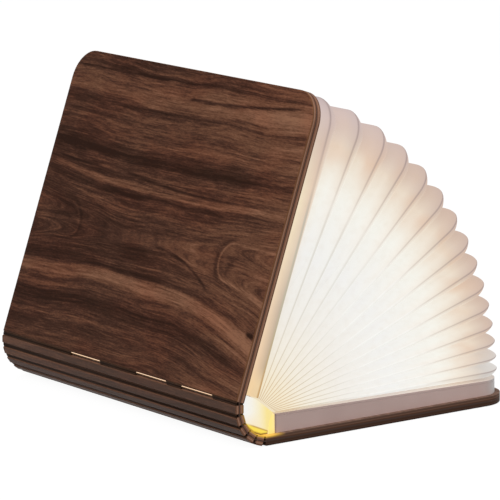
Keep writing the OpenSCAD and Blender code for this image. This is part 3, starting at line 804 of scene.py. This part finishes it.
# Painted shade: a dark line along each ridge, strongest near the hub and the tips, and over the
# inner part of the leaves on the pages nearest the front cover.
ridge_shade = paper.ramp(
    along_leaf, (0.04, tone(196, 152, 92)), (0.14, tone(186, 164, 122)), (0.3, tone(186, 178, 154)),
    (0.6, tone(192, 184, 168)), (0.8, tone(166, 146, 138)), (0.95, tone(146, 126, 126)))
ridge_shade_share = paper.sum("MULTIPLY", paper.ramp(from_ridge, (0.03, 1.0), (0.08, 0.0)), paper.ramp(
    along_leaf, (0.08, 0.7), (0.2, 0.4), (0.34, 0.08), (0.42, 0.0), (0.6, 0.0), (0.72, 0.32),
    (0.95, 0.7)))
upper_ridge_shade = paper.sum("MULTIPLY", paper.ramp(from_ridge, (0.05, 0.9), (0.12, 0.0)), paper.sum(
    "MULTIPLY", paper.ramp(stack, (0.05, 1.0), (0.08, 0.42), (0.2, 0.3), (0.36, 0.0)),
    paper.ramp(along_leaf, (0.6, 1.0), (0.72, 0.3))))
ridge_shade_share = paper.sum("MAXIMUM", ridge_shade_share, upper_ridge_shade)
lit = paper.mix(ridge_shade_share, lit, ridge_shade)
# Painted highlight: halfway along the leaves, the ridges of the pages nearer the housing are
# lightened.
ridge_highlight = paper.sum("MULTIPLY", paper.ramp(from_ridge, (0.05, 0.5), (0.14, 0.0)), paper.sum(
    "MULTIPLY", paper.ramp(stack, (0.3, 0.0), (0.42, 1.0)),
    paper.ramp(along_leaf, (0.3, 0.0), (0.4, 1.0), (0.62, 1.0), (0.7, 0.0))))
lit = paper.mix(ridge_highlight, lit, tone(255, 255, 252))
fibre = paper.noise(paper.fine_spot(260), 4, 0.6)
lit = paper.mix(paper.ramp(fibre, (0.45, 0.0), (0.75, 0.10)), lit, tone(205, 180, 150))
paper.bump(fibre, 0.0001, 0.3)
part_at_hinges(sheet, "pages", page_wall, glowing(paper, lit, 0.91, tone(90, 86, 82)),
               replaced=[f"page_{n:02d}" for n in range(1, last + 1)])
sheet.free()


# Gussets
# Two small sheets of the same paper close the ends of the spine between the slats and the inner
# ends of the pages. They glow yellow under a crease beside the light bar, and white above it.
gusset_at, gusset_wall = 104.35, 0.0002
veil = Finish("lit_gusset_paper")
across, height, inner = veil.parts(veil.mark(paper_layer, 1))
lit = veil.ramp(veil.fade(across, -92, -74), (0.2, tone(249, 249, 248)),
                (0.45, tone(250, 246, 234)), (0.7, tone(251, 240, 204)),
                (0.95, tone(252, 230, 148)))
lower = veil.sum("MULTIPLY", veil.fade(height, 17.5, 9.5, high=0.85), veil.fade(across, -75, -83))
lit = veil.mix(lower, lit, tone(253, 232, 190))
over_crease = veil.sum("ADD", height, veil.sum("MULTIPLY_ADD", across, 0.4286, 25.25))
yellow = veil.ramp(veil.fade(over_crease, -5, 0), (0.1, tone(236, 178, 40)),
                   (0.4, tone(255, 214, 44)), (1.0, tone(255, 232, 84)))
under_crease = veil.ramp(veil.fade(over_crease, -0.4, 0.6), (0.0, 1.0), (1.0, 0.0))
lit = veil.mix(under_crease, lit, yellow)
# Painted shade: a dark line along the crease.
line = veil.sum("MULTIPLY", veil.bell(over_crease, 0.42), veil.fade(across, -87, -83))
lit = veil.mix(veil.sum("MULTIPLY", line, 0.8), lit, tone(176, 120, 20))
# Painted shade: the paper darkens to brown along its edge in the inside corner of the spine.
lit = veil.mix(veil.ramp(inner, (0.02, 1.0), (0.09, 0.0)), lit, tone(120, 74, 28))
fibre = veil.noise(veil.fine_spot(300), 3)
veil.bump(fibre, 0.0001, 0.3)
glowing(veil, lit, 0.9, tone(92, 88, 78))
groove_turn, half_turn = 18.267, 9.13  # degrees
corner_off = 2.887


def spine_corner(k):
    """The inside corner between two neighbours of the spine, a little off the wood."""
    return chain[k] + corner_off * unit(180 - k * groove_turn - 90 + half_turn)


bar_gap, bar_depth, clear_of_bar = 0.15, 4.0, 0.35
bar_x = lid_from[0] - bar_gap - bar_depth - clear_of_bar
outer = [np.array((bar_x, 15.6)), np.array((bar_x, 5.35))]
outer += [spine_corner(k) for k in range(6)] + [on_front(5, 3.55)]
outer_share = [0.0, 0.0, 0.5, 1.5, 2.5, 3.5, 4.5, 5.5, 6.0]
columns = 49
steps = np.linspace(0, len(outer) - 1, columns)
path = np.stack([np.interp(steps, range(len(outer)), [p[i] for p in outer]) for i in (0, 1)], -1)
path_share = np.interp(steps, range(len(outer)), outer_share)
along_hub = np.linspace(1, 0, columns)
leaf_ends = np.array([hub_front + (hub_back - hub_front) * t - (0.6, 0.6) for t in along_hub])
leaf_share = np.array([share_of(np.array([sum(leaf(s)) / 2]), s)[0]
                       for s in 0.5 + (last - 0.5) * along_hub])
for side, name, gusset in ((-1, "near_veil", "near_gusset"), (1, "far_veil", "far_gusset")):
    web = new_sheet()
    rows, shares, facts = [], [], []
    for t in np.linspace(0, 1, 13):
        place = path + (leaf_ends - path) * t
        depth = np.full(columns, side * gusset_at)
        rows.append(np.stack([place[:, 0], depth, place[:, 1]], -1) / 1000)
        shares.append(path_share + (leaf_share - path_share) * t)
        facts.append(np.stack([place[:, 0], place[:, 1], np.full(columns, t)], -1))
    if side > 0:
        rows, shares, facts = ([row[::-1] for row in rows] for rows in (rows, shares, facts))
    add_grid(web, rows, shares, facts)
    part_at_hinges(web, name, gusset_wall, veil.material, replaced=[gusset])
    web.free()


# Kerf cloth
# The dark cloth shows at the bottom of each saw kerf, outside and inside the spine. It is glued to
# both neighbours.
half_kerf, outside_depth, inside_depth = 0.00084, 0.0017, -0.00215
bulge, cloth_wall = 0.00011, 0.0003
shaded_kerf = Finish("shaded_kerf_cloth")
lint = shaded_kerf.noise(shaded_kerf.fine_spot(700, 240, 700), 3, 0.6)
# Painted shade: the cloth darkens towards the middle of each strip, deep in the kerf.
kerf_shade = shaded_kerf.sum("MULTIPLY_ADD", shaded_kerf.sum("SUBTRACT", lint, 0.5), 0.16,
                     shaded_kerf.mark("share", 2))
shaded_kerf.bump(lint, 0.00008)
shaded_kerf.set(Base_Color=shaded_kerf.ramp(kerf_shade, (0.1, tone(84, 62, 49)), (0.32, tone(66, 46, 35)),
                                    (0.46, tone(30, 17, 10)), (0.56, tone(30, 17, 10)),
                                    (0.7, tone(64, 44, 33)), (0.9, tone(80, 58, 45))),
            Roughness=0.85, Specular_IOR_Level=0.1)
strips = bpy.data.node_groups.new("kerf_strips", "GeometryNodeTree")
strip_inputs = {
    name: strips.interface.new_socket(name, in_out="INPUT", socket_type=kind).identifier
    for kind, names in (
        ("NodeSocketGeometry", ("Stretches",)), ("NodeSocketVector", ("Hinge",)),
        ("NodeSocketFloat", ("First Lean", "Second Lean", "Half Kerf", "Outside Depth",
                             "Inside Depth", "Bulge")),
        ("NodeSocketMaterial", ("Cloth",)))
    for name in names}
strips.interface.new_socket("Strips", in_out="OUTPUT", socket_type="NodeSocketGeometry")
sizes = strips.nodes.new("NodeGroupInput").outputs


def knot(kind, inputs, out=0, **settings):
    """Adds a node to the tree that makes the strips and returns one of its outputs."""
    made = strips.nodes.new(kind)
    for key, value in settings.items():
        setattr(made, key, value)
    for key, value in inputs.items():
        if isinstance(value, bpy.types.NodeSocket):
            strips.links.new(value, made.inputs[key])
        else:
            made.inputs[key].default_value = value
    return made.outputs[out]


def stored(name):
    """A number that each stretch brings with it."""
    return knot("GeometryNodeInputNamedAttribute", {"Name": name}, data_type="FLOAT")


def beside_hinge(lean, aside, depth):
    """A point beside the hinge line, at a depth outwards from it, on a board with this lean."""
    flat = knot("ShaderNodeCombineXYZ", {0: aside, 2: depth})
    leaning = knot("ShaderNodeVectorRotate", {"Vector": flat, "Angle": lean},
                   rotation_type="Y_AXIS")
    return knot("ShaderNodeVectorMath", {0: leaning, 1: sizes["Hinge"]}, operation="ADD")


def laid_strips(depth, shown):
    """Strips that curve from one neighbour to the other. One of unit length is set at the start
    of each stretch where it shows, and stretched to the stretch's length."""
    short = knot("ShaderNodeMath", {0: sizes["Half Kerf"], 1: -1.0}, operation="MULTIPLY")
    both_leans = knot("ShaderNodeMath", {0: sizes["First Lean"], 1: sizes["Second Lean"]})
    mean_lean = knot("ShaderNodeMath", {0: both_leans, 1: 0.5}, operation="MULTIPLY")
    raised = knot("ShaderNodeMath", {0: sizes["Bulge"], 1: 2.0, 2: depth},
                  operation="MULTIPLY_ADD")
    across_kerf = knot("GeometryNodeCurveQuadraticBezier", {
        "Resolution": 4, "Start": beside_hinge(sizes["First Lean"], short, depth),
        "Middle": beside_hinge(mean_lean, 0.0, raised),
        "End": beside_hinge(sizes["Second Lean"], sizes["Half Kerf"], depth)})
    across_kerf = knot("GeometryNodeStoreNamedAttribute", {
        "Geometry": across_kerf, "Name": "share",
        "Value": knot("GeometryNodeSplineParameter", {})}, data_type="FLOAT", domain="POINT")
    strip = knot("GeometryNodeExtrudeMesh", {
        "Mesh": knot("GeometryNodeCurveToMesh", {"Curve": across_kerf}),
        "Offset": knot("ShaderNodeCombineXYZ", {1: 1.0})}, mode="EDGES")
    return knot("GeometryNodeInstanceOnPoints", {
        "Points": sizes["Stretches"], "Selection": shown, "Instance": strip,
        "Scale": knot("ShaderNodeCombineXYZ", {0: 1.0, 1: stored("reach"), 2: 1.0})})


both = strips.nodes.new("GeometryNodeJoinGeometry")
for depth, comparison in (("Outside Depth", "LESS_THAN"), ("Inside Depth", "GREATER_THAN")):
    shown = knot("ShaderNodeMath", {0: stored("inner_side"), 1: 0.5}, operation=comparison)
    strips.links.new(laid_strips(sizes[depth], shown), both.inputs[0])
whole = knot("GeometryNodeRealizeInstances", {"Geometry": both.outputs[0]})
dyed = knot("GeometryNodeSetMaterial", {"Geometry": whole, "Material": sizes["Cloth"]})
strips.links.new(dyed, strips.nodes.new("NodeGroupOutput").inputs[0])

# The last kerf is open at its three light slots, which show a little further on from inside.
half = 107.4
whole_kerf = [(-half, half)]
between_slots = [[(-half, -87.4), (-59.5, -47.2), (-19.0, 13.5), (41.5, half)],
                 [(-half, -84.6), (-53.6, -44.1), (-13.0, 16.4), (47.4, half)]]
for k in range(6):
    slotted = k == 5
    stretches = [(start / 1000, (end - start) / 1000, side) for side in (0, 1)
                 for start, end in (between_slots[side] if slotted else whole_kerf)]
    mesh = bpy.data.meshes.new(f"kerf_cloth_{k + 1}")
    mesh.from_pydata([(0, start, 0) for start, _, _ in stretches], [], [])
    for name, index in (("reach", 1), ("inner_side", 2)):
        mesh.attributes.new(name, "FLOAT", "POINT").data.foreach_set(
            "value", [stretch[index] for stretch in stretches])
    piece = bpy.data.objects.new(mesh.name, mesh)
    laid = piece.modifiers.new("laid", "NODES")
    laid.node_group = strips
    first_lean, second_lean = (math.radians(groove_turn * n - 180) for n in (k, k + 1))
    for name, value in {"Hinge": hinges[k], "First Lean": first_lean, "Second Lean": second_lean,
                        "Half Kerf": half_kerf, "Outside Depth": outside_depth,
                        "Inside Depth": inside_depth, "Bulge": bulge,
                        "Cloth": shaded_kerf.material}.items():
        laid[strip_inputs[name]] = value
    wall = piece.modifiers.new("wall", "SOLIDIFY")
    wall.thickness, wall.offset = cloth_wall, 0
    bpy.context.scene.collection.objects.link(piece)
    bend_at_hinge(piece)
    # The tree leaves an empty slot before the cloth's.
    while piece.data.materials[0] is None:
        piece.data.materials.pop(index=0)


# Studio
# A plain white table, just under the lamp, in an even white surround. Two soft boxes stand off
# to the left and right of the camera.
half_table, table_z = 6, -0.0004
table = bpy.data.meshes.new("table")
table.from_pydata([(x * half_table, y * half_table, table_z) for x, y in (
    (-1, -1), (1, -1), (1, 1), (-1, 1))], [], [(0, 1, 2, 3)])
plain = Finish("white_table")
rays = plain.tree.nodes.new("ShaderNodeLightPath").outputs
mirrored = plain.sum("MAXIMUM", rays["Is Camera Ray"], rays["Is Glossy Ray"])
seen = plain.sum("MAXIMUM", mirrored, rays["Is Transmission Ray"])
plain.set(Base_Color=tone(100, 100, 100), Roughness=1.0, Specular_IOR_Level=0.0,
          Emission_Color=tone(255, 255, 255), Emission_Strength=plain.sum("MULTIPLY", seen, 0.94))
table.materials.append(plain.material)
floor = bpy.data.objects.new("table", table)
bpy.context.scene.collection.objects.link(floor)

world = bpy.data.worlds.new("surround")
world.use_nodes = True
bpy.context.scene.world = world
air = world.node_tree
rays = air.nodes.new("ShaderNodeLightPath").outputs
either = air.nodes.new("ShaderNodeMath")
either.operation = "MAXIMUM"
air.links.new(rays["Is Camera Ray"], either.inputs[0])
air.links.new(rays["Is Transmission Ray"], either.inputs[1])
power = air.nodes.new("ShaderNodeMapRange")
power.inputs["To Min"].default_value = 0.5
air.links.new(either.outputs[0], power.inputs["Value"])
sky = air.nodes["Background"]
sky.inputs["Color"].default_value = (1, 1, 1, 1)
air.links.new(power.outputs[0], sky.inputs["Strength"])

lit_place = Vector((-0.02, 0, 0.07))
for name, watts, size, stand in (("key_box", 22, 1.4, Vector((-1.5, -1.0, 1.5))),
                                 ("fill_box", 8, 1.2, Vector((1.2, -1.4, 1.1)))):
    box = bpy.data.lights.new(name, "AREA")
    box.energy, box.size = watts, size
    lamp = bpy.data.objects.new(name, box)
    lamp.location = stand
    lamp.rotation_euler = (lit_place - stand).to_track_quat("-Z", "Y").to_euler()
    bpy.context.scene.collection.objects.link(lamp)

bpy.context.scene.view_settings.view_transform = "Standard"
